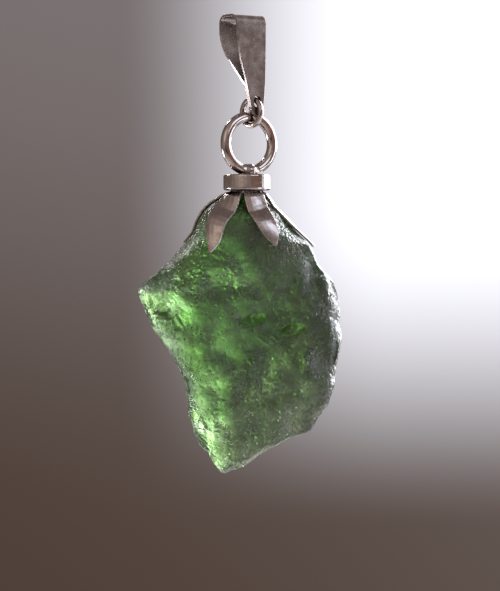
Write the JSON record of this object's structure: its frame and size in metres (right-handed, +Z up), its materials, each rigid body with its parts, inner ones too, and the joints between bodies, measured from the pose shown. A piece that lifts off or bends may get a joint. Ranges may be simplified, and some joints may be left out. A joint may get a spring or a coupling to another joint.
{
  "type": "raw moldavite pendant",
  "caption": "Raw etched green glass stone held by a leaf-shaped silver bell cap and hung from a ring, a jump ring and a folded bail.",
  "frame": {"origin": "middle of the bail's tunnel, where what it hangs on passes", "axes": "+Z up along the hanging pendant, +X to the right of the stone's broad front face, -Y to the front"},
  "size_m": [0.0172, 0.0079, 0.0382],
  "materials": {
    "moldavite": "etched natural glass, satin with sparkling pits",
    "silver_cap": "pressed silver, lightly worn polish",
    "silver_wire": "polished silver wire",
    "silver_strip": "satin silver strip with polished edges"
  },
  "bodies": {
    "bail": {"bail": "silver_strip"},
    "jump_ring": {"jump_ring": "silver_wire"},
    "pendant": {"hanging_ring": "silver_wire", "cap_collar": "silver_cap", "leaf_cap": "silver_cap", "moldavite_stone": "moldavite"}
  },
  "joints": [
    {"name": "bail_swing", "type": "hinge", "parent": "bail", "child": "jump_ring", "pos_m": [0.00104, -0.00051, -0.00583], "axis": [0.5878, -0.809, 0], "range_deg": [-12, 12]},
    {"name": "ring_swing", "type": "hinge", "parent": "jump_ring", "child": "pendant", "pos_m": [0.00056, 0, -0.00715], "axis": [0.8572, 0.515, 0], "range_deg": [-40, 40]}
  ]
}
